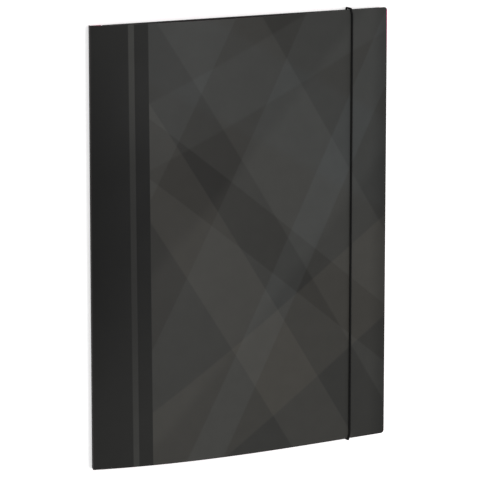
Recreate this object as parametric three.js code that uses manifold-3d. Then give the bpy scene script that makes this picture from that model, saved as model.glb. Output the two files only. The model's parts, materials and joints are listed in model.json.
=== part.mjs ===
import * as THREE from "three";
import { mergeVertices } from "three/addons/utils/BufferGeometryUtils.js";
import Module from "manifold-3d";

// A folder for A4 papers with three inner flaps and an elastic cord, closed and lying on its back cover.
// Millimetres. X runs from the spine to the fore edge, Y from the foot to the head, Z up from the table.
// The origin is the middle of the closed folder, on the table.

// Sheet: one creased plastic sheet makes the covers, the spine, the walls and the flaps
const sheetThickness = 0.6;
const foldInnerRadius = 0.4;
const layerGap = 0.3;

// Front cover, bowed between the spine and the fore edge
const coverWidth = 240;
const coverHeight = 320;
const coverCornerRadius = 2.5;
const coverOverhang = 0.5;
const bowRise = 10;
const bowLean = 0.9;
const bowSteps = 28;

// Spine: the closed cover lies a little further to the spine side than the back cover
const spineLean = 1.5;
const creaseGap = 0.3;

// Pocket between the back cover and the flaps
const pocketDepth = 2.5;
const endFlapDepth = 85;
const endFlapFromSpine = 12;
const sideFlapDepth = 120;
const flapTaper = 12;
const flapCornerRadius = 8;
const cornerNotch = 4;
const foldRelief = 1;

// Elastic cord and the metal bars on its ends
const cordDiameter = 1.5;
const cordFromForeEdge = 31.2;
const cordHoleShift = 1;
const cordClearance = 0.2;
const cordHoleClearance = 0.15;
const cordTail = 0.8;
const cordSides = 8;
const cordStepsPerStretch = 5;
const stopLength = 11;
const stopWidth = 2.4;
const stopClearance = 0.15;
const stopWallClearance = 0.3;
const stopBoreClearance = 0.1;

// Roundness of corners, folds and holes
const arcSteps = 6;
const holeSides = 20;

// Levels and edges worked out from the sizes above
const halfSheet = sheetThickness / 2;
const foldOuterRadius = foldInnerRadius + sheetThickness;
const endFlapTop = sheetThickness + pocketDepth + sheetThickness;
const sideFlapTop = endFlapTop + layerGap + sheetThickness;
const coverUnderside = sideFlapTop + layerGap;
const foreEdge = coverWidth / 2;
const headEdge = coverHeight / 2;
const foreWall = foreEdge - coverOverhang;
const endWall = headEdge - coverOverhang;
const endFlapStart = -foreEdge + endFlapFromSpine;
const endFlapEnd = foreWall - cornerNotch;

// The two creases of the spine: the lines that the sheet bends about
const lowerCrease = new THREE.Vector2(-foreEdge + spineLean + halfSheet, halfSheet);
const upperCrease = new THREE.Vector2(-foreEdge + halfSheet, coverUnderside + halfSheet);
const backSpineEdge = lowerCrease.x + halfSheet + creaseGap;

// Where the cord crosses the cover, where its holes are, and the face of its end bars towards the wall
const cordRadius = cordDiameter / 2;
const cordBend = cordRadius + cordClearance;
const cordX = foreEdge - cordFromForeEdge;
const cordHoleX = cordX - cordHoleShift;
const cordHoleHeight = sheetThickness + pocketDepth / 2;
const stopFace = endWall - sheetThickness - stopWallClearance;

// Solids are joined and cut by the manifold library
const library = await Module();
library.setup();

function toSolid(geometry) {
  const bare = geometry.clone();
  bare.deleteAttribute("normal");
  bare.deleteAttribute("uv");
  const merged = mergeVertices(bare);
  return new library.Manifold(new library.Mesh({
    numProp: 3,
    vertProperties: merged.attributes.position.array,
    triVerts: Uint32Array.from(merged.index.array),
  }));
}

function toGeometry(solid) {
  const mesh = solid.getMesh();
  const geometry = new THREE.BufferGeometry();
  geometry.setAttribute("position", new THREE.BufferAttribute(mesh.vertProperties, 3));
  geometry.setIndex(new THREE.BufferAttribute(mesh.triVerts, 1));
  geometry.computeVertexNormals();
  return geometry;
}

// A flat outline raised along Z
function prism(outline, height) {
  return new THREE.ExtrudeGeometry(outline, {
    depth: height,
    bevelEnabled: false,
    curveSegments: arcSteps,
  });
}

// A section drawn in X and Z, drawn out along Y and centred on the middle of the folder
function drawnAlongY(section, length) {
  const geometry = prism(section, length);
  geometry.rotateX(Math.PI / 2);
  geometry.translate(0, length / 2, 0);
  return geometry;
}

function corner(x, y, radius = 0) {
  return { point: new THREE.Vector2(x, y), radius };
}

// A closed outline with straight sides, each corner rounded by its own radius, the first two square
function roundedOutline(corners) {
  const outline = new THREE.Shape();
  corners.forEach(({ point, radius }, index) => {
    if (radius === 0) {
      outline[index === 0 ? "moveTo" : "lineTo"](point.x, point.y);
      return;
    }
    const before = corners[(index + corners.length - 1) % corners.length].point;
    const after = corners[(index + 1) % corners.length].point;
    const toBefore = before.clone().sub(point).normalize();
    const toAfter = after.clone().sub(point).normalize();
    const halfAngle = toBefore.angleTo(toAfter) / 2;
    const middle = toBefore.clone().add(toAfter).normalize();
    const centre = point.clone().addScaledVector(middle, radius / Math.sin(halfAngle));
    const start = point.clone().addScaledVector(toBefore, radius / Math.tan(halfAngle)).sub(centre);
    const end = point.clone().addScaledVector(toAfter, radius / Math.tan(halfAngle)).sub(centre);
    const clockwise = toBefore.cross(toAfter) > 0;
    outline.absarc(centre.x, centre.y, radius, start.angle(), end.angle(), clockwise);
  });
  outline.closePath();
  return outline;
}

// Points of a half circle about a crease, turning clockwise from a starting direction
function creaseBead(crease, startAngle) {
  const bead = [];
  for (let step = 0; step <= arcSteps; step += 1) {
    const angle = startAngle - Math.PI * step / arcSteps;
    const spoke = new THREE.Vector2(Math.cos(angle), Math.sin(angle));
    bead.push(crease.clone().addScaledVector(spoke, halfSheet));
  }
  return bead;
}

// Middle of the bowed cover's thickness, from the upper crease (share 0) to the fore edge (share 1)
function coverMiddle(share) {
  const x = upperCrease.x + share * (foreEdge - upperCrease.x);
  const crown = 4 * share * (1 - share);
  const bow = bowRise * crown * (1 + bowLean * (0.5 - share));
  return new THREE.Vector2(x, upperCrease.y + bow);
}

// Direction square to the cover, towards its outer face
function coverOutward(share) {
  const smallShare = 1e-3;
  const ahead = coverMiddle(share + smallShare);
  const behind = coverMiddle(share - smallShare);
  const along = ahead.sub(behind).normalize();
  return new THREE.Vector2(-along.y, along.x);
}

// Height of the cover's outer face above the table at a distance from the spine side
function coverFaceHeight(x) {
  const share = (x - upperCrease.x) / (foreEdge - upperCrease.x);
  return coverMiddle(share).y + halfSheet / coverOutward(share).y;
}

// The front cover: a bent strip, half round at the crease and with two rounded fore-edge corners
function frontCover() {
  const outerFace = [];
  const innerFace = [];
  for (let step = 1; step <= bowSteps; step += 1) {
    const share = step / bowSteps;
    const outward = coverOutward(share);
    outerFace.push(coverMiddle(share).addScaledVector(outward, halfSheet));
    innerFace.push(coverMiddle(share).addScaledVector(outward, -halfSheet));
  }
  const bead = creaseBead(upperCrease, coverOutward(0).angle() + Math.PI);
  const section = new THREE.Shape([...innerFace.reverse(), ...bead, ...outerFace]);
  const strip = drawnAlongY(section, coverHeight);
  const plan = roundedOutline([
    corner(-coverWidth, headEdge),
    corner(-coverWidth, -headEdge),
    corner(foreEdge, -headEdge, coverCornerRadius),
    corner(foreEdge, headEdge, coverCornerRadius),
  ]);
  const plate = prism(plan, coverUnderside + coverWidth);
  return toGeometry(toSolid(strip).intersect(toSolid(plate)));
}

// The spine: half round about the lower crease, square just short of the upper one
function spine() {
  const along = upperCrease.clone().sub(lowerCrease).normalize();
  const inward = new THREE.Vector2(along.y, -along.x);
  const end = upperCrease.clone().addScaledVector(along, -halfSheet - creaseGap);
  const section = new THREE.Shape([
    ...creaseBead(lowerCrease, inward.angle()),
    end.clone().addScaledVector(inward, -halfSheet),
    end.clone().addScaledVector(inward, halfSheet),
  ]);
  return drawnAlongY(section, coverHeight);
}

// Section of a wall and its flap, with X out of the folder and Y up: the strip starts in the back
// cover, turns up as the wall and turns back over the pocket as the flap
function foldedSection(wallFace, flapTop, flapDepth) {
  const bendCentre = wallFace - foldOuterRadius;
  const upperBend = flapTop - foldOuterRadius;
  const start = bendCentre - foldOuterRadius;
  const freeEdge = wallFace - flapDepth;
  const quarter = Math.PI / 2;
  const section = new THREE.Shape();
  section.moveTo(start, sheetThickness);
  section.lineTo(start, 0);
  section.absarc(bendCentre, foldOuterRadius, foldOuterRadius, -quarter, 0, false);
  section.absarc(bendCentre, upperBend, foldOuterRadius, 0, quarter, false);
  section.lineTo(freeEdge, flapTop);
  section.lineTo(freeEdge, flapTop - sheetThickness);
  section.absarc(bendCentre, upperBend, foldInnerRadius, quarter, 0, true);
  section.absarc(bendCentre, foldOuterRadius, foldInnerRadius, 0, -quarter, true);
  section.closePath();
  return section;
}

// A wall with its flap as one solid. The flap narrows from the fold to its round-cornered free edge.
// facing is the angle in plan that the wall looks to, and middle is the middle of its length.
function foldedFlap({ facing, middle, wallFace, flapTop, flapDepth, length }) {
  const strip = drawnAlongY(foldedSection(wallFace, flapTop, flapDepth), length);
  const fold = wallFace - foldOuterRadius;
  const freeEdge = wallFace - flapDepth;
  const plan = roundedOutline([
    corner(wallFace + sheetThickness, -length),
    corner(wallFace + sheetThickness, length),
    corner(fold, length),
    corner(fold, length / 2),
    corner(freeEdge, length / 2 - flapTaper, flapCornerRadius),
    corner(freeEdge, -length / 2 + flapTaper, flapCornerRadius),
    corner(fold, -length / 2),
    corner(fold, -length),
  ]);
  const plate = prism(plan, flapTop + 2 * sheetThickness);
  plate.translate(0, 0, -sheetThickness);
  const flap = toSolid(strip).intersect(toSolid(plate));
  const turned = flap.rotate([0, 0, THREE.MathUtils.radToDeg(facing)]);
  return turned.translate([middle.x, middle.y, 0]);
}

// The flat back cover up to its folds, with notched fore-edge corners and slits beside the end walls
function backPlate() {
  const foldLine = endWall - foldOuterRadius;
  const foreFoldLine = foreWall - foldOuterRadius;
  const slit = endFlapStart - foldRelief;
  const headHalf = [
    corner(foreFoldLine, endWall - cornerNotch),
    corner(foreWall - cornerNotch, foldLine),
    corner(slit, foldLine),
    corner(slit, endWall),
    corner(backSpineEdge, endWall),
  ];
  const footHalf = headHalf.map(({ point }) => corner(point.x, -point.y)).reverse();
  return toSolid(prism(roundedOutline([...headHalf, ...footHalf]), sheetThickness));
}

// Round holes through both end walls for the cord
function cordHoles() {
  const radius = cordDiameter / 2 + cordHoleClearance;
  const drill = new THREE.CylinderGeometry(radius, radius, 2 * coverHeight, holeSides);
  drill.translate(cordHoleX, 0, cordHoleHeight);
  return toSolid(drill);
}

// The back cover, its three walls and its three flaps: one creased sheet
function backCoverAndFlaps() {
  const endFlap = {
    middle: new THREE.Vector2((endFlapStart + endFlapEnd) / 2, 0),
    wallFace: endWall,
    flapTop: endFlapTop,
    flapDepth: endFlapDepth,
    length: endFlapEnd - endFlapStart,
  };
  const headFlap = foldedFlap({ ...endFlap, facing: Math.PI / 2 });
  const footFlap = foldedFlap({ ...endFlap, facing: -Math.PI / 2 });
  const sideFlap = foldedFlap({
    facing: 0,
    middle: new THREE.Vector2(0, 0),
    wallFace: foreWall,
    flapTop: sideFlapTop,
    flapDepth: sideFlapDepth,
    length: 2 * (endWall - cornerNotch),
  });
  const sheet = backPlate().add(headFlap).add(footFlap).add(sideFlap);
  return toGeometry(sheet.subtract(cordHoles()));
}

// The cord's route from its tail at the head to its tail at the foot. The stretches give the head half,
// from the middle of the front run to the tail, and the foot half is its mirror image.
class CordRoute extends THREE.Curve {
  constructor(stretches) {
    super();
    this.stretches = stretches;
  }

  getPoint(share) {
    const place = Math.abs(2 * share - 1) * this.stretches.length;
    const index = Math.min(Math.floor(place), this.stretches.length - 1);
    const point = this.stretches[index].getPoint(place - index);
    point.y *= share < 0.5 ? 1 : -1;
    return point;
  }

  getUtoTmapping(share) {
    return share;
  }
}

// Down the front cover, round its edge, down past the wall, in through the hole and into the end bar
function cordStretches() {
  const top = coverFaceHeight(cordX) + cordBend;
  const out = headEdge + cordBend;
  const at = (x, y, z) => new THREE.Vector3(x, y, z);
  const runMiddle = at(cordX, 0, top);
  const runEnd = at(cordX, out - cordBend, top);
  const overEdge = at(cordX, out, top - cordBend);
  const aboveHole = at(cordHoleX, out, cordHoleHeight + cordBend);
  const holeMouth = at(cordHoleX, out - cordBend, cordHoleHeight);
  const tail = at(cordHoleX, stopFace - stopWidth - cordTail, cordHoleHeight);
  const pull = at(0, 0, (overEdge.z - aboveHole.z) / 2);
  const besideEdge = overEdge.clone().sub(pull);
  const besideHole = aboveHole.clone().add(pull);
  return [
    new THREE.LineCurve3(runMiddle, runEnd),
    new THREE.QuadraticBezierCurve3(runEnd, at(cordX, out, top), overEdge),
    new THREE.CubicBezierCurve3(overEdge, besideEdge, besideHole, aboveHole),
    new THREE.QuadraticBezierCurve3(aboveHole, at(cordHoleX, out, cordHoleHeight), holeMouth),
    new THREE.LineCurve3(holeMouth, tail),
  ];
}

function elasticCord() {
  const rim = [];
  for (let side = 0; side < cordSides; side += 1) {
    const angle = 2 * Math.PI * side / cordSides;
    rim.push(new THREE.Vector2(Math.cos(angle), Math.sin(angle)).multiplyScalar(cordRadius));
  }
  const stretches = cordStretches();
  return new THREE.ExtrudeGeometry(new THREE.Shape(rim), {
    extrudePath: new CordRoute(stretches),
    steps: 2 * stretches.length * cordStepsPerStretch,
    bevelEnabled: false,
  });
}

// A flat metal bar with round ends, lying along the wall behind its hole, with the cord through its middle
function cordStop() {
  const height = pocketDepth - 2 * stopClearance;
  const endCentre = (stopLength - height) / 2;
  const quarter = Math.PI / 2;
  const bar = new THREE.Shape();
  bar.absarc(endCentre, 0, height / 2, -quarter, quarter, false);
  bar.absarc(-endCentre, 0, height / 2, quarter, 3 * quarter, false);
  bar.closePath();
  const bore = new THREE.Path();
  bore.absarc(0, 0, cordRadius + stopBoreClearance, 0, 4 * quarter, true);
  bar.holes.push(bore);
  return drawnAlongY(bar, stopWidth);
}

function material(color, roughness, metalness) {
  return new THREE.MeshStandardMaterial({ color, roughness, metalness });
}

function piece(name, geometry, look) {
  const mesh = new THREE.Mesh(geometry, look);
  mesh.name = name;
  return mesh;
}

const folder = new THREE.Group();
folder.add(piece("back_cover_and_flaps", backCoverAndFlaps(), material(0x2f2f2e, 0.45, 0)));
folder.add(piece("spine", spine(), material(0x2b2b2a, 0.45, 0)));
folder.add(piece("front_cover", frontCover(), material(0x3e3e3c, 0.45, 0)));
folder.add(piece("elastic_cord", elasticCord(), material(0x141414, 0.85, 0)));

for (const [name, side] of [["cord_stop_head", 1], ["cord_stop_foot", -1]]) {
  const stop = piece(name, cordStop(), material(0xb8b8b4, 0.35, 1));
  stop.position.set(cordHoleX, side * (stopFace - stopWidth / 2), cordHoleHeight);
  folder.add(stop);
}

export default folder;
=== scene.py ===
# A folder for A4 papers, closed on a white table. Its plastic sheet is dark outside and pink inside and is
# creased into the covers, the spine and three inner flaps. An elastic cord holds the front cover shut.
# Lengths are in millimetres in the folder's own frame (X to the fore edge, Y to the head, Z up) and become
# metres where a mesh, a shader or the camera takes them. Angles are in degrees.
import json
import math

import bmesh
import bpy
from mathutils import Matrix, Vector


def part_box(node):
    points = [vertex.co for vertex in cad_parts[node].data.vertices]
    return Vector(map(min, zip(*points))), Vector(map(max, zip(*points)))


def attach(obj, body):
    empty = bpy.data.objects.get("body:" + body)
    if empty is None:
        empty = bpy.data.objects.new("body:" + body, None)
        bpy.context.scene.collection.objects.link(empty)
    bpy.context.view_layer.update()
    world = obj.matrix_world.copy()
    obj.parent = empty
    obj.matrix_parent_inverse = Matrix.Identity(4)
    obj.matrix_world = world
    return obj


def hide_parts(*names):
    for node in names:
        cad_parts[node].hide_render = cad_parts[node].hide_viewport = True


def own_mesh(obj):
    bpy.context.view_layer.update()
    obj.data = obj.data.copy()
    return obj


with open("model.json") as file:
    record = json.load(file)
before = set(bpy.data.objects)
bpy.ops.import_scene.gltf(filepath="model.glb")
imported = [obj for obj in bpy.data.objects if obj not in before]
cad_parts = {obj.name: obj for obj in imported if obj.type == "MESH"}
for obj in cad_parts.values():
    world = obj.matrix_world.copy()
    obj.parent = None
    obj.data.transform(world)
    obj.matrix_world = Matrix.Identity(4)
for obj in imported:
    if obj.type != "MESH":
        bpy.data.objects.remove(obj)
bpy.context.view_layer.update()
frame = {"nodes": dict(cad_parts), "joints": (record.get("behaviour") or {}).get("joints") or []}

MM = 0.001
FULL_TURN = 2 * math.pi

# Sheet, its folds and its cut edges
SHEET = 0.6
FOLD_OUTER_RADIUS = 1.0
FOLD_STEPS = 6
WALL_INSET = 0.5
SPINE_SHORTER = 0.06
RIM_ROUND = 0.18
RIM_SEGMENTS = 3
RIM_ANGLE = 60
SAME_PLACE = 0.001

# Front cover, bowed over the flaps and pressed in a little under the cord
COVER_CORNER_RADIUS = 2.5
COVER_CORNER_STEP = 9
BOW_RISE = 10
BOW_LEAN = 0.9
DENT_DEPTH = 0.35
DENT_REACH = 3.2
DENT_FALLOFF = 1.5
SLOPE_STEP = 0.1

# Flaps and the notches, slits and holes of the back cover
END_FLAP_TOP = 3.7
END_FLAP_DEPTH = 85
END_FLAP_FROM_SPINE = 12
SIDE_FLAP_TOP = 4.6
SIDE_FLAP_DEPTH = 120
FLAP_TAPER = 12
FLAP_CORNER_RADIUS = 8
FLAP_CORNER_STEPS = 8
CORNER_NOTCH = 4
SLIT = 1

# Longest cells of the meshes, and those given as a share of a length
BACK_CELL = 7
SPINE_TAB_CELL = 5
SPINE_CELL = 8
SPINE_CELL_SHARE = 0.2
COVER_CELL = 2.5
COVER_CELL_SHARE = 1 / 24
DENT_CELL = 0.4
DENT_FINE_REACHES = 4

# Elastic cord: its route, the holes it goes through and its braided sleeve
CORD_DIAMETER = 1.5
CORD_FROM_FORE_EDGE = 31.2
CORD_HOLE_SHIFT = 1
CORD_HOLE_HEIGHT = 1.85
CORD_HOLE_RADIUS = 0.9
CORD_HOLE_SIDES = 24
CORD_HOLE_CELL = 1.7 * CORD_HOLE_RADIUS
CORD_TAIL_Y = 155.4
CORD_SLANT = 5
CORD_SLANT_EASE_IN = 1.5
CORD_SLANT_EASE_OUT = 1
CORD_CLEARANCE = 0.05
CORD_CURVE_STEPS = 24
CORD_STEP = 0.25
CORD_SIDES = 24
CORD_STRANDS = 5
CORD_YARNS = 4
STRAND_PITCH = 3.6
STRAND_RELIEF = 0.035

# Grain of the sheet
GRAIN_SIZE = 0.35
GRAIN_DEPTH = 0.03
FINE_GRAIN_SHARE = 0.5
COARSE_GRAIN_SHARE = 0.7
COARSE_GRAIN_SCALE = 90
SLOW_GRAIN_SCALE = 14
COARSE_GRAIN_SPAN = (0.25, 0.75)
SLOW_GRAIN_SPAN = (0.3, 0.7)
GRAIN_TONE_SWING = 0.03
GRAIN_ROUGHNESS_SWING = 0.03

# Print on the cover. Tones are linear brightness, and the strength of a band is added to the field's.
FIELD_TONE = 0.0275
PRINT_BANDS = [
    # angle of the band's normal, offset, width, softness, strength, warmth
    (33, -32, 46, 1.5, 0.0090, 0.3),
    (33, 62, 70, 2.0, 0.0085, 0.0),
    (52, 8, 34, 1.5, -0.0080, 0.2),
    (61, 96, 60, 9.0, 0.0030, -0.4),
    (-28, -58, 52, 1.5, -0.0070, 0.4),
    (-28, 44, 26, 2.0, 0.0080, -0.5),
    (-44, 4, 88, 12.0, 0.0065, 0.0),
    (-57, 92, 64, 2.0, 0.0085, 0.5),
    (-66, -104, 44, 3.0, 0.0060, -0.3),
]
PRINT_EDGE = 0.3
STRIPE_X = -89.7
STRIPE_SLANT = -0.0075
STRIPE_WIDTH = 4.3
STRIPE_TONE_MIDDLE = 0.0165
STRIPE_TONE_END = 0.033
SECOND_BAND_END = 12.6
BAND_TONE_MIDDLE = 0.004
BAND_TONE_HEAD = 0.0092
BAND_TONE_FOOT = 0.014
BAND_DARKEST_Y = 25
EVEN_MIDDLE_SHARE = 0.15
# Painted shade: the cover's tone is darkened towards the fore edge, where the cover curves away from the
# light.
FORE_EDGE_PAINTED_SHADE = 0.72
FORE_EDGE_PAINTED_SHADE_WIDTH = 16
BARE_EDGE_WIDTH = 0.4
BARE_EDGE_HEAD = 158
BARE_EDGE_FOOT = 118
BARE_EDGE_SOFTNESS = 0.05
RED_IN_GREY = 1.005
BLUE_IN_GREY = 0.93
WARMTH_SHIFT = 0.06

# Colours and finishes
PLAIN_TONE = 0.015
OUTER_ROUGHNESS = 0.44
OUTER_SHEEN = 0.12
PINK = (0.716, 0.014, 0.181, 1)
DEEP_PINK = (0.66, 0.012, 0.165, 1)
INNER_ROUGHNESS = 0.42
INNER_SHEEN = 0.35
RIM_DARK = (0.012, 0.011, 0.011, 1)
RIM_REDDISH = (0.030, 0.016, 0.018, 1)
RIM_SHEEN = 0.3
RIM_ROUGHNESS = (0.45, 0.6)
CUT_MARK_SCALE = 900
CUT_MARK_DEPTH = 0.02
CUT_MARK_SPAN = (0.3, 0.7)
CUT_MARK_COLOUR_SPAN = (0.35, 0.75)
ELASTIC_TONE = 0.006
ELASTIC_ROUGHNESS = 0.85
ELASTIC_SHEEN = 0.15
YARN_RELIEF = 0.3
WEAVE_DEPTH = 0.03
WEAVE_HEIGHT_SPAN = (-0.6, 1.2)
# Painted shade of the weave: darker where its strands and yarns dip.
WEAVE_PAINTED_SHADE_SPAN = (0.45, 1.25)
STEEL_DARK = (0.42, 0.42, 0.40, 1)
STEEL_LIGHT = (0.58, 0.58, 0.56, 1)
STEEL_ROUGHNESS = (0.26, 0.42)
STEEL_BRUSHING = (40, 2500, 2500)
SCRATCH_DEPTH = 0.01
SCRATCH_SPAN = (0.2, 0.8)
WHITE = (1, 1, 1, 1)
TABLE_WHITE = (0.97, 0.97, 0.97, 1)
TABLE_ROUGHNESS = 0.9

# Camera, light and table. The lamps, the table and the camera's near and far limits are in metres.
CAMERA_PLACE = (-1142.1, 463.4, 2175.0)
CAMERA_RIGHT = (0.88514, 0.0003, 0.46533)
CAMERA_UP = (0.08667, 0.9824, -0.16548)
CAMERA_BACK = (-0.45719, 0.1868, 0.86953)
CAMERA_LENS = 258.69
CAMERA_SENSOR = 36
CAMERA_NEAR = 0.1
CAMERA_FAR = 20
SOFTBOXES = [
    # name, place, size, power
    ("overhead_softbox", (0.35, 0.1, 1.5), 0.9, 9),
    ("window_fill", (-1.3, 0.5, 1.2), 1.2, 5),
]
SKY_LIGHT = 0.62
TABLE_GLOW = 0.38
TABLE_HALF = 4.0
TABLE_CELLS = 8
TABLE_DROP = 0.05 * MM

# Places read from the frame: the outer edges and the two creases of the spine
creases = {joint["name"]: Vector(joint["pos_m"]) / MM for joint in frame["joints"]}
LOWER_CREASE = creases["spine_fold"]
UPPER_CREASE = creases["cover_fold"]
cover_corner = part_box("front_cover")[1] / MM
FORE_EDGE = cover_corner.x
HEAD_EDGE = cover_corner.y
FORE_FOLD = FORE_EDGE - WALL_INSET - FOLD_OUTER_RADIUS
END_WALL = HEAD_EDGE - WALL_INSET
END_FOLD = END_WALL - FOLD_OUTER_RADIUS
CORD_X = FORE_EDGE - CORD_FROM_FORE_EDGE
CORD_HOLE_X = CORD_X - CORD_HOLE_SHIFT


# Meshes

def grid(bm, rows, columns, place, left_out=()):
    """Square cells between the rows and columns; place(row, column) gives each corner in millimetres."""
    verts = [[bm.verts.new(Vector(place(row, column)) * MM) for column in columns] for row in rows]
    for i in range(len(rows) - 1):
        for j in range(len(columns) - 1):
            if (i, j) not in left_out:
                bm.faces.new((verts[i][j], verts[i + 1][j], verts[i + 1][j + 1], verts[i][j + 1]))
    return verts


def even_steps(start, end, longest):
    """Numbers from start to end, no further apart than longest."""
    count = math.ceil(abs(end - start) / longest)
    return [start + (end - start) * step / count for step in range(count + 1)]


def arc(centre, radius, start, end, steps):
    """Points of an arc, by angles in degrees."""
    angles = [math.radians(start + (end - start) * step / steps) for step in range(steps + 1)]
    return [(centre[0] + radius * math.cos(a), centre[1] + radius * math.sin(a)) for a in angles]


def smooth_object(name, bm):
    """An object in the scene with the smooth-shaded mesh that bm holds."""
    mesh = bpy.data.meshes.new(name)
    bm.to_mesh(mesh)
    bm.free()
    mesh.shade_smooth()
    piece = bpy.data.objects.new(name, mesh)
    bpy.context.scene.collection.objects.link(piece)
    return piece


def sheet_piece(name, bm, outer, inner, rim):
    """A piece of plastic sheet about the surface in bm, whose faces look to the sheet's outer side."""
    bmesh.ops.remove_doubles(bm, verts=bm.verts, dist=SAME_PLACE * MM)
    bm.normal_update()
    piece = smooth_object(name, bm)
    for material in (outer, inner, rim):
        piece.data.materials.append(material)
    thick = piece.modifiers.new("sheet thickness", "SOLIDIFY")
    thick.thickness = SHEET * MM
    thick.offset = 0
    thick.use_even_offset = True
    thick.material_offset = 1
    thick.material_offset_rim = 2
    rounded = piece.modifiers.new("rounded rim", "BEVEL")
    rounded.width = RIM_ROUND * MM
    rounded.segments = RIM_SEGMENTS
    rounded.limit_method = "ANGLE"
    rounded.angle_limit = math.radians(RIM_ANGLE)
    rounded.material = 2
    piece.modifiers.new("flat faces stay flat", "WEIGHTED_NORMAL")
    return piece


# Back cover, walls and flaps

def hole_columns(start, end):
    """Column places along an end wall, with the cord's hole in the middle of two narrow columns."""
    before = even_steps(start, CORD_HOLE_X - CORD_HOLE_CELL, BACK_CELL)
    after = even_steps(CORD_HOLE_X + CORD_HOLE_CELL, end, BACK_CELL)
    return before + [CORD_HOLE_X] + after


def flap_outline(half_length, depth):
    """(distance from the fold, half length there) down one side of a tapering flap with round corners."""
    slant = math.atan2(FLAP_TAPER, depth)
    corner_depth = depth - FLAP_CORNER_RADIUS
    corner_side = half_length - corner_depth * math.tan(slant) - FLAP_CORNER_RADIUS / math.cos(slant)
    centre = (corner_depth, corner_side)
    rounding = arc(centre, FLAP_CORNER_RADIUS, 90 - math.degrees(slant), 0, FLAP_CORNER_STEPS)
    straight = [(d, half_length - d * math.tan(slant)) for d in even_steps(0, rounding[0][0], BACK_CELL)]
    return straight[1:-1] + rounding


def wall_and_flap(bm, out, middle, places, fold, flap_top, flap_depth, with_hole=False):
    """A strip that turns up from the back cover as a wall and back over the pocket as a flap.
    out is the direction in plan that the wall faces, and places run along the fold line from its middle."""
    along = Vector((out.y, -out.x))
    half_length = places[-1]
    half = SHEET / 2
    bend = FOLD_OUTER_RADIUS - half
    lower = arc((fold, FOLD_OUTER_RADIUS), bend, -90, 0, FOLD_STEPS)
    upper = arc((fold, flap_top - FOLD_OUTER_RADIUS), bend, 0, 90, FOLD_STEPS)
    section = [(distance, height, 1) for distance, height in lower + upper]
    section += [
        (fold - depth, flap_top - half, side / half_length)
        for depth, side in flap_outline(half_length, flap_depth - FOLD_OUTER_RADIUS)
    ]

    def place(row, column):
        distance, height, share = row
        spot = middle + out * distance + along * (column * share)
        return (spot.x, spot.y, height)

    if not with_hole:
        grid(bm, section, places, place)
        return
    hole_place = along.x * (CORD_HOLE_X - middle.x)
    hole_column = min(range(len(places)), key=lambda index: abs(places[index] - hole_place))
    rows = range(FOLD_STEPS - 1, FOLD_STEPS + 2)
    cells = [(row, column) for row in rows for column in (hole_column - 1, hole_column)]
    verts = grid(bm, section, places, place, cells)
    wall = middle + out * (fold + bend)
    round_hole(bm, verts, rows, hole_column, wall.y, out)


def round_hole(bm, verts, rows, column, wall_y, out):
    """Faces between the cord's round hole and the cells that were left out of an end wall."""
    bottom = rows[0]
    top = rows[-1] + 1
    loop = [verts[bottom][column + shift] for shift in (-1, 0, 1)]
    loop += [verts[row][column + 1] for row in range(bottom + 1, top + 1)]
    loop += [verts[top][column], verts[top][column - 1]]
    loop += [verts[row][column - 1] for row in range(top - 1, bottom, -1)]
    ring = [
        bm.verts.new(Vector((CORD_HOLE_X + x, wall_y, CORD_HOLE_HEIGHT + z)) * MM)
        for x, z in arc((0, 0), CORD_HOLE_RADIUS, 0, 360, CORD_HOLE_SIDES)[:-1]
    ]
    edges = [bm.edges.get((a, b)) for a, b in zip(loop, loop[1:] + loop[:1])]
    edges += [bm.edges.new((a, b)) for a, b in zip(ring, ring[1:] + ring[:1])]
    filled = bmesh.ops.triangle_fill(bm, use_beauty=True, edges=edges)["geom"]
    for face in filled:
        if isinstance(face, bmesh.types.BMFace) and face.normal.dot(out.to_3d()) < 0:
            face.normal_flip()
    for unused in [vert for vert in bm.verts if not vert.link_faces]:
        bm.verts.remove(unused)


def back_cover_and_flaps(materials):
    """The back cover with its head, foot and fore-edge walls and the three flaps folded in over it."""
    bm = bmesh.new()
    half = SHEET / 2
    flap_start = -FORE_EDGE + END_FLAP_FROM_SPINE
    flap_end = FORE_EDGE - WALL_INSET - CORNER_NOTCH
    notch_y = END_WALL - CORNER_NOTCH
    flap_columns = hole_columns(flap_start, flap_end)
    tab_columns = even_steps(LOWER_CREASE.x - half, flap_start - SLIT, SPINE_TAB_CELL)
    columns = tab_columns + flap_columns
    side_rows = even_steps(-notch_y, notch_y, BACK_CELL)

    def floor_place(y, x):
        return (x, y, half)

    grid(bm, side_rows, columns + [FORE_FOLD], floor_place)
    for side in (1, -1):
        band = sorted((side * notch_y, side * END_FOLD))
        tab = sorted((side * END_FOLD, side * END_WALL))
        grid(bm, band, columns, floor_place)
        grid(bm, tab, tab_columns, floor_place)
        corner = [(flap_end, notch_y), (FORE_FOLD, notch_y), (flap_end, END_FOLD)]
        verts = [bm.verts.new(Vector((x, side * y, half)) * MM) for x, y in corner]
        bm.faces.new(verts[::-1] if side > 0 else verts)
        middle_x = (flap_start + flap_end) / 2
        places = sorted(side * (x - middle_x) for x in flap_columns)
        wall_and_flap(bm, Vector((0, side)), Vector((middle_x, 0)), places,
                      END_FOLD, END_FLAP_TOP, END_FLAP_DEPTH, with_hole=True)
    wall_and_flap(bm, Vector((1, 0)), Vector((0, 0)), side_rows, FORE_FOLD, SIDE_FLAP_TOP, SIDE_FLAP_DEPTH)
    piece = sheet_piece("folded_back_sheet", bm, *materials)
    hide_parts("back_cover_and_flaps")
    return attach(piece, "back")


# Spine and front cover

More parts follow.
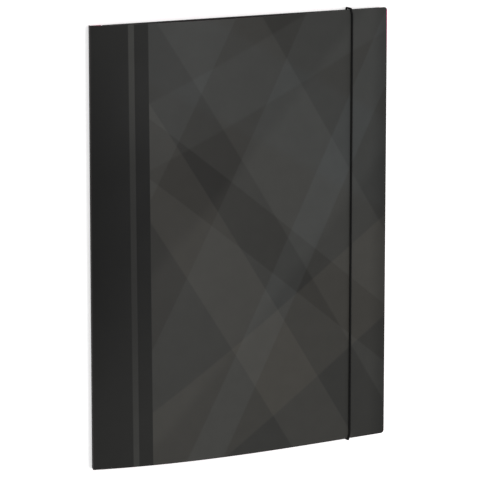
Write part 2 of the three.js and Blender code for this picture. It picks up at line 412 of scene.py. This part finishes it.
def spine(materials):
    """The narrow panel between the two creases."""
    bm = bmesh.new()
    along = (UPPER_CREASE - LOWER_CREASE).normalized()
    start = LOWER_CREASE - along * SHEET / 2
    end = UPPER_CREASE + along * SHEET / 2
    half_length = HEAD_EDGE - SPINE_SHORTER

    def place(share, y):
        spot = start.lerp(end, share)
        return (spot.x, y, spot.z)

    rows = even_steps(0, 1, SPINE_CELL_SHARE)
    grid(bm, rows, even_steps(-half_length, half_length, SPINE_CELL), place)
    piece = sheet_piece("spine_sheet", bm, *materials)
    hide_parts("spine")
    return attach(piece, "spine")


def cover_height(x):
    """Height of the middle of the cover's thickness: a leaning bow with a dent under the cord."""
    share = (x - UPPER_CREASE.x) / (FORE_EDGE - UPPER_CREASE.x)
    bow = BOW_RISE * 4 * share * (1 - share) * (1 + BOW_LEAN * (0.5 - share))
    away = abs(x - CORD_X)
    dent = DENT_DEPTH * math.exp(-((away / DENT_REACH) ** DENT_FALLOFF))
    return UPPER_CREASE.z + bow - dent


def cover_half_length(x):
    """Half of the cover's length in Y, less where the fore-edge corners are rounded."""
    past = max(0, x - (FORE_EDGE - COVER_CORNER_RADIUS))
    return HEAD_EDGE - COVER_CORNER_RADIUS + math.sqrt(max(0, COVER_CORNER_RADIUS**2 - past**2))


def cover_columns():
    """Column places across the cover, close together where it dips under the cord and at the corners."""
    fine = DENT_FINE_REACHES * DENT_REACH
    corner = FORE_EDGE - COVER_CORNER_RADIUS
    angles = [math.radians(angle) for angle in range(0, 91, COVER_CORNER_STEP)]
    rounding = [corner + COVER_CORNER_RADIUS * math.sin(angle) for angle in angles]
    places = even_steps(UPPER_CREASE.x, CORD_X - fine, COVER_CELL)
    places += even_steps(CORD_X - fine, CORD_X + fine, DENT_CELL)[1:]
    places += even_steps(CORD_X + fine, corner, COVER_CELL)[1:]
    return places + rounding[1:]


def front_cover(materials):
    """The bowed front cover, which reaches half a sheet past the upper crease."""
    bm = bmesh.new()
    first_slope = (cover_height(UPPER_CREASE.x + SLOPE_STEP) - UPPER_CREASE.z) / SLOPE_STEP
    lip = SHEET / 2
    columns = [UPPER_CREASE.x - lip] + cover_columns()

    def place(y_share, x):
        if x < UPPER_CREASE.x:
            return (x, y_share * HEAD_EDGE, UPPER_CREASE.z - lip * first_slope)
        return (x, y_share * cover_half_length(x), cover_height(x))

    grid(bm, even_steps(1, -1, COVER_CELL_SHARE), columns, place)
    piece = sheet_piece("bowed_cover_sheet", bm, *materials)
    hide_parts("front_cover")
    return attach(piece, "cover")


# Elastic cord

def bezier(points, share):
    """The point of a Bezier curve at a share of its span."""
    while len(points) > 1:
        points = [a.lerp(b, share) for a, b in zip(points, points[1:])]
    return points[0]


def evenly_spaced(points, spacing):
    """The same route with its points a fixed distance apart."""
    lengths = [0]
    for a, b in zip(points, points[1:]):
        lengths.append(lengths[-1] + (b - a).length)
    route = []
    index = 0
    for place in even_steps(0, lengths[-1], spacing):
        while index < len(points) - 2 and lengths[index + 1] < place:
            index += 1
        share = (place - lengths[index]) / (lengths[index + 1] - lengths[index])
        route.append(points[index].lerp(points[index + 1], share))
    return route


def cord_route():
    """Points of the cord's middle, evenly spaced, from the tail at the head to the tail at the foot."""
    radius = CORD_DIAMETER / 2
    bend = radius + CORD_CLEARANCE
    run = cover_height(CORD_X) + SHEET / 2 + radius
    out = HEAD_EDGE + bend
    hole = CORD_HOLE_HEIGHT
    pull = Vector((0, 0, (run - hole) / 2 - bend))
    slant_start = Vector((CORD_X, out - CORD_SLANT, run))
    slant_ease = Vector((CORD_X, slant_start.y + CORD_SLANT_EASE_IN, run))
    run_end = Vector((CORD_HOLE_X, out - bend, run))
    run_end_ease = Vector((CORD_HOLE_X, run_end.y - CORD_SLANT_EASE_OUT, run))
    over_edge = Vector((CORD_HOLE_X, out, run - bend))
    above_hole = Vector((CORD_HOLE_X, out, hole + bend))
    hole_mouth = Vector((CORD_HOLE_X, out - bend, hole))
    stretches = [
        [Vector((CORD_X, 0, run)), slant_start],
        [slant_start, slant_ease, run_end_ease, run_end],
        [run_end, Vector((CORD_HOLE_X, out, run)), over_edge],
        [over_edge, over_edge - pull, above_hole + pull, above_hole],
        [above_hole, Vector((CORD_HOLE_X, out, hole)), hole_mouth],
        [hole_mouth, Vector((CORD_HOLE_X, CORD_TAIL_Y, hole))],
    ]
    half = [
        bezier(points, step / CORD_CURVE_STEPS)
        for points in stretches
        for step in range(CORD_CURVE_STEPS)
    ]
    half.append(stretches[-1][-1])
    mirrored = [Vector((point.x, -point.y, point.z)) for point in half[1:]]
    return evenly_spaced(half[::-1] + mirrored, CORD_STEP)


def braided_ring(bm, point, tangent, turn):
    """Vertices around the cord at one point, raised where a strand of the sleeve crosses over."""
    side = (Vector((1, 0, 0)) - tangent * tangent.x).normalized()
    up = side.cross(tangent)
    ring = []
    for step in range(CORD_SIDES):
        angle = FULL_TURN * step / CORD_SIDES
        weave = max(math.cos(CORD_STRANDS * angle + turn), math.cos(CORD_STRANDS * angle - turn))
        reach = CORD_DIAMETER / 2 - STRAND_RELIEF * (1 - weave)
        spoke = side * math.cos(angle) + up * math.sin(angle)
        ring.append(bm.verts.new((point + spoke * reach) * MM))
    return ring


def elastic_cord(material):
    """The round cord from its tail at the head, down the cover, to its tail at the foot."""
    route = cord_route()
    bm = bmesh.new()
    uv = bm.loops.layers.uv.new("around and along")
    rings = []
    for index, point in enumerate(route):
        ahead = route[min(index + 1, len(route) - 1)]
        behind = route[max(index - 1, 0)]
        turn = FULL_TURN * index * CORD_STEP / STRAND_PITCH
        rings.append(braided_ring(bm, point, (ahead - behind).normalized(), turn))
    for index, (first, second) in enumerate(zip(rings, rings[1:])):
        for step in range(CORD_SIDES):
            after = (step + 1) % CORD_SIDES
            face = bm.faces.new((first[step], first[after], second[after], second[step]))
            corners = ((step, index), (step + 1, index), (step + 1, index + 1), (step, index + 1))
            for loop, (around, along) in zip(face.loops, corners):
                loop[uv].uv = (around / CORD_SIDES, along * CORD_STEP / STRAND_PITCH)
    bm.faces.new(rings[0][::-1])
    bm.faces.new(rings[-1])
    bmesh.ops.recalc_face_normals(bm, faces=bm.faces)
    piece = smooth_object("braided_elastic_cord", bm)
    piece.data.materials.append(material)
    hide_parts("elastic_cord")
    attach(piece, "back")
    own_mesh(piece)
    return piece


# Shader parts

def new_group(name, inputs, outputs):
    """An empty node group. An input is a vector where its value is None, and all else is numbers."""
    group = bpy.data.node_groups.new(name, "ShaderNodeTree")
    for label, value in inputs.items():
        kind = "NodeSocketVector" if value is None else "NodeSocketFloat"
        socket = group.interface.new_socket(label, in_out="INPUT", socket_type=kind)
        if value is not None:
            socket.default_value = value
    for label in outputs:
        group.interface.new_socket(label, in_out="OUTPUT", socket_type="NodeSocketFloat")
    given = group.nodes.new("NodeGroupInput").outputs
    result = group.nodes.new("NodeGroupOutput").inputs
    return group, given, result


def join(tree, value, socket):
    """Sets a socket to a number or links another node's output to it."""
    if isinstance(value, bpy.types.NodeSocket):
        tree.links.new(value, socket)
    else:
        socket.default_value = value


def calc(tree, operation, *values):
    """The result of one maths node."""
    maths = tree.nodes.new("ShaderNodeMath")
    maths.operation = operation
    for value, socket in zip(values, maths.inputs):
        join(tree, value, socket)
    return maths.outputs[0]


def part_way(tree, share, first, second):
    """A number that goes from first to second as share goes from 0 to 1."""
    return calc(tree, "ADD", first, calc(tree, "MULTIPLY", share, calc(tree, "SUBTRACT", second, first)))


def ramp(tree, value, start, end, low=0.0, high=1.0, smooth=True):
    """value carried from the span start to end over to the span low to high."""
    mapped = tree.nodes.new("ShaderNodeMapRange")
    mapped.interpolation_type = "SMOOTHSTEP" if smooth else "LINEAR"
    join(tree, value, mapped.inputs["Value"])
    join(tree, start, mapped.inputs["From Min"])
    join(tree, end, mapped.inputs["From Max"])
    join(tree, low, mapped.inputs["To Min"])
    join(tree, high, mapped.inputs["To Max"])
    return mapped.outputs[0]


def noise(tree, vector, scale, detail):
    """Soft noise between 0 and 1."""
    texture = tree.nodes.new("ShaderNodeTexNoise")
    join(tree, vector, texture.inputs["Vector"])
    join(tree, scale, texture.inputs["Scale"])
    texture.inputs["Detail"].default_value = detail
    return texture.outputs["Fac"]


def mix_colour(tree, factor, first, second):
    """A colour that goes from first to second as factor goes from 0 to 1."""
    mix = tree.nodes.new("ShaderNodeMix")
    mix.data_type = "RGBA"
    join(tree, factor, mix.inputs["Factor"])
    join(tree, first, mix.inputs["A"])
    join(tree, second, mix.inputs["B"])
    return mix.outputs["Result"]


def use(tree, group, **values):
    """The outputs of a group placed in tree, with its inputs set by name."""
    made = tree.nodes.new("ShaderNodeGroup")
    made.node_tree = group
    for label, value in values.items():
        join(tree, value, made.inputs[label])
    return made.outputs


def in_millimetres(tree, vector):
    """X and Y of a place on the folder, in millimetres."""
    split = tree.nodes.new("ShaderNodeSeparateXYZ")
    join(tree, vector, split.inputs[0])
    return [calc(tree, "MULTIPLY", split.outputs[axis], 1 / MM) for axis in ("X", "Y")]


def sheet_grain_group():
    """Fine moulded grain of the sheet, its slow unevenness and how both change the gloss."""
    group, given, result = new_group(
        "sheet_grain",
        {"Vector": None, "Grain": GRAIN_SIZE, "Roughness": OUTER_ROUGHNESS},
        ("Height", "Roughness", "Tone"),
    )
    grains_in_metre = calc(group, "DIVIDE", 1 / MM, given["Grain"])
    fine = noise(group, given["Vector"], grains_in_metre, detail=1.0)
    coarse = noise(group, given["Vector"], COARSE_GRAIN_SCALE, detail=3.0)
    slow = noise(group, given["Vector"], SLOW_GRAIN_SCALE, detail=2.0)
    fine_height = calc(group, "MULTIPLY", fine, FINE_GRAIN_SHARE)
    coarse_height = calc(group, "MULTIPLY", coarse, COARSE_GRAIN_SHARE)
    join(group, calc(group, "ADD", fine_height, coarse_height), result["Height"])
    swing = ramp(group, slow, *SLOW_GRAIN_SPAN, -GRAIN_ROUGHNESS_SWING, GRAIN_ROUGHNESS_SWING)
    join(group, calc(group, "ADD", given["Roughness"], swing), result["Roughness"])
    tone = ramp(group, coarse, *COARSE_GRAIN_SPAN, 1 - GRAIN_TONE_SWING, 1 + GRAIN_TONE_SWING)
    join(group, tone, result["Tone"])
    return group


def soft_band_group():
    """Mask of a straight band with soft edges, across the sheet in X and Y (millimetres)."""
    group, given, result = new_group(
        "soft_band",
        {"X": 0, "Y": 0, "Angle": 0, "Offset": 0, "Width": 10, "Softness": 1},
        ("Mask",),
    )
    across = calc(group, "MULTIPLY", given["X"], calc(group, "COSINE", given["Angle"]))
    down = calc(group, "MULTIPLY", given["Y"], calc(group, "SINE", given["Angle"]))
    distance = calc(group, "SUBTRACT", calc(group, "ADD", across, down), given["Offset"])
    half_width = calc(group, "DIVIDE", given["Width"], 2)
    outside = calc(group, "SUBTRACT", calc(group, "ABSOLUTE", distance), half_width)
    half_edge = calc(group, "DIVIDE", given["Softness"], 2)
    mask = ramp(group, outside, calc(group, "MULTIPLY", half_edge, -1), half_edge, 1, 0)
    join(group, mask, result["Mask"])
    return group


def spine_side_tone(tree, y, from_stripe):
    """Tone of the dark band along the spine and the light stripe in it, both lighter to their ends."""
    from_darkest = calc(tree, "DIVIDE", calc(tree, "SUBTRACT", y, BAND_DARKEST_Y), HEAD_EDGE)
    band_end = ramp(tree, y, -HEAD_EDGE, HEAD_EDGE, BAND_TONE_FOOT, BAND_TONE_HEAD, smooth=False)
    band_share = calc(tree, "ABSOLUTE", from_darkest)
    band_tone = ramp(tree, band_share, EVEN_MIDDLE_SHARE, 1.0, BAND_TONE_MIDDLE, band_end)
    stripe_share = calc(tree, "ABSOLUTE", calc(tree, "DIVIDE", y, HEAD_EDGE))
    stripe_tone = ramp(tree, stripe_share, EVEN_MIDDLE_SHARE, 1.0, STRIPE_TONE_MIDDLE, STRIPE_TONE_END)
    half_stripe = STRIPE_WIDTH / 2
    away = calc(tree, "ABSOLUTE", from_stripe)
    in_stripe = ramp(tree, away, half_stripe + PRINT_EDGE, half_stripe - PRINT_EDGE)
    return part_way(tree, in_stripe, band_tone, stripe_tone)


def cover_print_and_painted_shade_group(soft_band):
    """Tone of the print on the cover: dark spine band, light stripe and overlapping translucent bands, with
    painted shade towards the fore edge, where the cover curves away from the light.
    """
    group, given, result = new_group("cover_print_and_painted_shade", {"Vector": None}, ("Tone", "Warmth"))
    x, y = in_millimetres(group, given["Vector"])
    tone = FIELD_TONE
    warmth = 0.0
    for angle, offset, width, softness, strength, warm in PRINT_BANDS:
        band = use(group, soft_band, X=x, Y=y, Angle=math.radians(angle), Offset=offset, Width=width,
                   Softness=softness)
        tone = calc(group, "MULTIPLY_ADD", band["Mask"], strength, tone)
        warmth = calc(group, "MULTIPLY_ADD", band["Mask"], warm, warmth)
    # Painted shade: the tone falls off towards the fore edge, where the cover curves away from the light.
    painted_fore_edge_shade = ramp(group, x, FORE_EDGE - FORE_EDGE_PAINTED_SHADE_WIDTH, FORE_EDGE, 1.0, FORE_EDGE_PAINTED_SHADE)
    field = calc(group, "MULTIPLY", tone, painted_fore_edge_shade)
    stripe_middle = calc(group, "MULTIPLY_ADD", y, STRIPE_SLANT, STRIPE_X)
    from_stripe = calc(group, "SUBTRACT", x, stripe_middle)
    in_field = ramp(group, from_stripe, SECOND_BAND_END - PRINT_EDGE, SECOND_BAND_END + PRINT_EDGE)
    printed_with_painted_shade = part_way(group, in_field, spine_side_tone(group, y, from_stripe), field)
    join(group, printed_with_painted_shade, result["Tone"])
    join(group, calc(group, "MULTIPLY", warmth, in_field), result["Warmth"])
    return group


def bare_edge_group():
    """Mask of the hairline at the fore edge's head end where the dark print stops short of the cut."""
    group, given, result = new_group("bare_edge", {"Vector": None}, ("Mask",))
    x, y = in_millimetres(group, given["Vector"])
    width = ramp(group, y, BARE_EDGE_FOOT, BARE_EDGE_HEAD, 0, BARE_EDGE_WIDTH, smooth=False)
    inside = calc(group, "SUBTRACT", x, calc(group, "SUBTRACT", FORE_EDGE, width))
    join(group, ramp(group, inside, -BARE_EDGE_SOFTNESS, BARE_EDGE_SOFTNESS), result["Mask"])
    return group


def braid_group():
    """Height and painted shade of a braided sleeve: strands that cross, each with fine yarns along it,
    painted darker where they dip.
    """
    group, given, result = new_group(
        "braid",
        {"UV": None, "Strands": CORD_STRANDS, "Yarns": CORD_YARNS},
        ("Height", "Tone"),
    )
    split = group.nodes.new("ShaderNodeSeparateXYZ")
    join(group, given["UV"], split.inputs[0])
    around = calc(group, "MULTIPLY", split.outputs["X"], given["Strands"])
    waves = []
    yarns = []
    for side in (1, -1):
        phase = calc(group, "MULTIPLY_ADD", split.outputs["Y"], side, around)
        fine_phase = calc(group, "MULTIPLY", phase, given["Yarns"])
        waves.append(calc(group, "COSINE", calc(group, "MULTIPLY", phase, FULL_TURN)))
        yarns.append(calc(group, "COSINE", calc(group, "MULTIPLY", fine_phase, FULL_TURN)))
    over = calc(group, "GREATER_THAN", waves[0], waves[1])
    strand = calc(group, "MAXIMUM", waves[0], waves[1])
    yarn = part_way(group, over, yarns[1], yarns[0])
    height = calc(group, "MULTIPLY_ADD", yarn, YARN_RELIEF, strand)
    # Painted shade: the weave is darker where it is low, where shade falls between the strands.
    tone = ramp(group, height, *WEAVE_HEIGHT_SPAN, *WEAVE_PAINTED_SHADE_SPAN, smooth=False)
    join(group, height, result["Height"])
    join(group, tone, result["Tone"])
    return group


# Materials

def new_material(name):
    """A node material, with its tree and its shader."""
    material = bpy.data.materials.new(name)
    material.use_nodes = True
    tree = material.node_tree
    return material, tree, tree.nodes["Principled BSDF"]


def object_place(tree):
    """The place of a surface point in the folder's frame, in metres."""
    return tree.nodes.new("ShaderNodeTexCoord").outputs["Object"]


def bump(tree, height, distance, shader):
    """Fine relief on a shader, its distance in millimetres."""
    made = tree.nodes.new("ShaderNodeBump")
    made.inputs["Distance"].default_value = distance * MM
    join(tree, height, made.inputs["Height"])
    join(tree, made.outputs["Normal"], shader.inputs["Normal"])


def grey(tree, tone, warmth):
    """A near-grey colour of a brightness, with more red or more blue by its warmth."""
    shift = calc(tree, "MULTIPLY", warmth, WARMTH_SHIFT)
    red = calc(tree, "MULTIPLY", tone, calc(tree, "ADD", shift, RED_IN_GREY))
    blue = calc(tree, "MULTIPLY", tone, calc(tree, "SUBTRACT", BLUE_IN_GREY, shift))
    combined = tree.nodes.new("ShaderNodeCombineColor")
    for label, value in (("Red", red), ("Green", tone), ("Blue", blue)):
        join(tree, value, combined.inputs[label])
    return combined.outputs["Color"]


def sheet_surface(tree, shader, grain, roughness, sheen):
    """Gives a shader the sheet's grain, gloss and relief, and returns the grain's tone."""
    surface = use(tree, grain, Vector=object_place(tree), Grain=GRAIN_SIZE, Roughness=roughness)
    join(tree, surface["Roughness"], shader.inputs["Roughness"])
    shader.inputs["Specular IOR Level"].default_value = sheen
    bump(tree, surface["Height"], GRAIN_DEPTH, shader)
    return surface["Tone"]


def plain_sheet_material(grain):
    """The sheet's dark outer side where it has no pattern: back, spine, walls and flaps."""
    material, tree, shader = new_material("dark_sheet")
    grain_tone = sheet_surface(tree, shader, grain, OUTER_ROUGHNESS, OUTER_SHEEN)
    tone = calc(tree, "MULTIPLY", grain_tone, PLAIN_TONE)
    join(tree, grey(tree, tone, 0.0), shader.inputs["Base Color"])
    return material


def printed_sheet_material(grain, cover_print_and_painted_shade, bare_edge):
    """The front cover's outer side: the print over the dark sheet, with painted shade towards the fore
    edge, and a bare hairline at the fore edge.
    """
    material, tree, shader = new_material("printed_sheet")
    grain_tone = sheet_surface(tree, shader, grain, OUTER_ROUGHNESS, OUTER_SHEEN)
    place = object_place(tree)
    # This tone holds the print and the painted shade at the fore edge.
    pattern = use(tree, cover_print_and_painted_shade, Vector=place)
    bare = use(tree, bare_edge, Vector=place)["Mask"]
    tone = calc(tree, "MULTIPLY", pattern["Tone"], grain_tone)
    colour = mix_colour(tree, bare, grey(tree, tone, pattern["Warmth"]), PINK)
    join(tree, colour, shader.inputs["Base Color"])
    return material


def inner_sheet_material(grain):
    """The sheet's pink inner side."""
    material, tree, shader = new_material("pink_inner_side")
    grain_tone = sheet_surface(tree, shader, grain, INNER_ROUGHNESS, INNER_SHEEN)
    share = ramp(tree, grain_tone, 1 - GRAIN_TONE_SWING, 1 + GRAIN_TONE_SWING)
    join(tree, mix_colour(tree, share, DEEP_PINK, PINK), shader.inputs["Base Color"])
    return material


def rim_material():
    """The cut edge, where the dark layer and a trace of the pink one show, with fine cutting marks."""
    material, tree, shader = new_material("cut_edge")
    marks = noise(tree, object_place(tree), CUT_MARK_SCALE, detail=2.0)
    shade = mix_colour(tree, ramp(tree, marks, *CUT_MARK_COLOUR_SPAN), RIM_DARK, RIM_REDDISH)
    join(tree, shade, shader.inputs["Base Color"])
    join(tree, ramp(tree, marks, *CUT_MARK_SPAN, *RIM_ROUGHNESS), shader.inputs["Roughness"])
    shader.inputs["Specular IOR Level"].default_value = RIM_SHEEN
    bump(tree, marks, CUT_MARK_DEPTH, shader)
    return material


def cord_material(braid):
    """The black braided sleeve of the elastic cord."""
    material, tree, shader = new_material("braided_elastic")
    uv = tree.nodes.new("ShaderNodeUVMap")
    uv.uv_map = "around and along"
    weave = use(tree, braid, UV=uv.outputs["UV"], Strands=float(CORD_STRANDS), Yarns=float(CORD_YARNS))
    # The weave's tone holds painted shade in its dips.
    tone = calc(tree, "MULTIPLY", weave["Tone"], ELASTIC_TONE)
    combined = tree.nodes.new("ShaderNodeCombineColor")
    for label in ("Red", "Green", "Blue"):
        join(tree, tone, combined.inputs[label])
    join(tree, combined.outputs["Color"], shader.inputs["Base Color"])
    shader.inputs["Roughness"].default_value = ELASTIC_ROUGHNESS
    shader.inputs["Specular IOR Level"].default_value = ELASTIC_SHEEN
    bump(tree, weave["Height"], WEAVE_DEPTH, shader)
    return material


def stop_material():
    """Brushed steel of the two bars behind the cord's holes."""
    material, tree, shader = new_material("brushed_steel")
    stretch = tree.nodes.new("ShaderNodeMapping")
    stretch.inputs["Scale"].default_value = STEEL_BRUSHING
    join(tree, object_place(tree), stretch.inputs["Vector"])
    scratches = noise(tree, stretch.outputs["Vector"], 1.0, detail=3.0)
    join(tree, mix_colour(tree, scratches, STEEL_DARK, STEEL_LIGHT), shader.inputs["Base Color"])
    shader.inputs["Metallic"].default_value = 1
    join(tree, ramp(tree, scratches, *SCRATCH_SPAN, *STEEL_ROUGHNESS), shader.inputs["Roughness"])
    bump(tree, scratches, SCRATCH_DEPTH, shader)
    return material


# Camera, light and table

def camera():
    """The viewpoint, above the spine side and a little to the head."""
    data = bpy.data.cameras.new("camera")
    data.lens = CAMERA_LENS
    data.sensor_width = CAMERA_SENSOR
    data.clip_start = CAMERA_NEAR
    data.clip_end = CAMERA_FAR
    seen_from = bpy.data.objects.new("camera", data)
    bpy.context.scene.collection.objects.link(seen_from)
    turn = Matrix((CAMERA_RIGHT, CAMERA_UP, CAMERA_BACK)).transposed()
    seen_from.matrix_world = Matrix.Translation(Vector(CAMERA_PLACE) * MM) @ turn.to_4x4()
    bpy.context.scene.camera = seen_from


def softbox(name, place, size, power):
    """A square lamp that looks at the middle of the folder."""
    data = bpy.data.lights.new(name, "AREA")
    data.size = size
    data.energy = power
    lamp = bpy.data.objects.new(name, data)
    lamp.location = place
    lamp.rotation_mode = "QUATERNION"
    lamp.rotation_quaternion = (-Vector(place)).to_track_quat("-Z", "Y")
    bpy.context.scene.collection.objects.link(lamp)


def white_surroundings():
    """White to the camera, and a dimmer even light on the folder."""
    world = bpy.data.worlds.new("white")
    bpy.context.scene.world = world
    world.use_nodes = True
    tree = world.node_tree
    ray = tree.nodes.new("ShaderNodeLightPath")
    strength = calc(tree, "MULTIPLY_ADD", ray.outputs["Is Camera Ray"], 1 - SKY_LIGHT, SKY_LIGHT)
    background = tree.nodes["Background"]
    background.inputs["Color"].default_value = WHITE
    join(tree, strength, background.inputs["Strength"])


def table():
    """The white table top, just under the folder, lifted towards white where the camera sees it."""
    bm = bmesh.new()
    bmesh.ops.create_grid(bm, x_segments=TABLE_CELLS, y_segments=TABLE_CELLS, size=TABLE_HALF)
    bmesh.ops.translate(bm, verts=bm.verts, vec=(0, 0, -TABLE_DROP))
    mesh = bpy.data.meshes.new("table")
    bm.to_mesh(mesh)
    bm.free()
    material, tree, shader = new_material("white_table")
    shader.inputs["Base Color"].default_value = TABLE_WHITE
    shader.inputs["Roughness"].default_value = TABLE_ROUGHNESS
    shader.inputs["Specular IOR Level"].default_value = 0
    shader.inputs["Emission Color"].default_value = WHITE
    ray = tree.nodes.new("ShaderNodeLightPath")
    glow = calc(tree, "MULTIPLY", ray.outputs["Is Camera Ray"], TABLE_GLOW)
    join(tree, glow, shader.inputs["Emission Strength"])
    mesh.materials.append(material)
    top = bpy.data.objects.new("table", mesh)
    bpy.context.scene.collection.objects.link(top)


def main():
    """Sets up the view, then makes every piece of the folder."""
    camera()
    for name, place, size, power in SOFTBOXES:
        softbox(name, place, size, power)
    white_surroundings()
    table()
    bpy.context.scene.view_settings.view_transform = "Standard"

    grain = sheet_grain_group()
    plain = plain_sheet_material(grain)
    pink = inner_sheet_material(grain)
    rim = rim_material()
    printed_with_painted_shade = printed_sheet_material(grain, cover_print_and_painted_shade_group(soft_band_group()), bare_edge_group())
    back_cover_and_flaps((plain, pink, rim))
    spine((plain, pink, rim))
    front_cover((printed_with_painted_shade, pink, rim))
    elastic_cord(cord_material(braid_group()))
    steel = stop_material()
    for name in ("cord_stop_head", "cord_stop_foot"):
        frame["nodes"][name].data.materials.clear()
        frame["nodes"][name].data.materials.append(steel)


main()
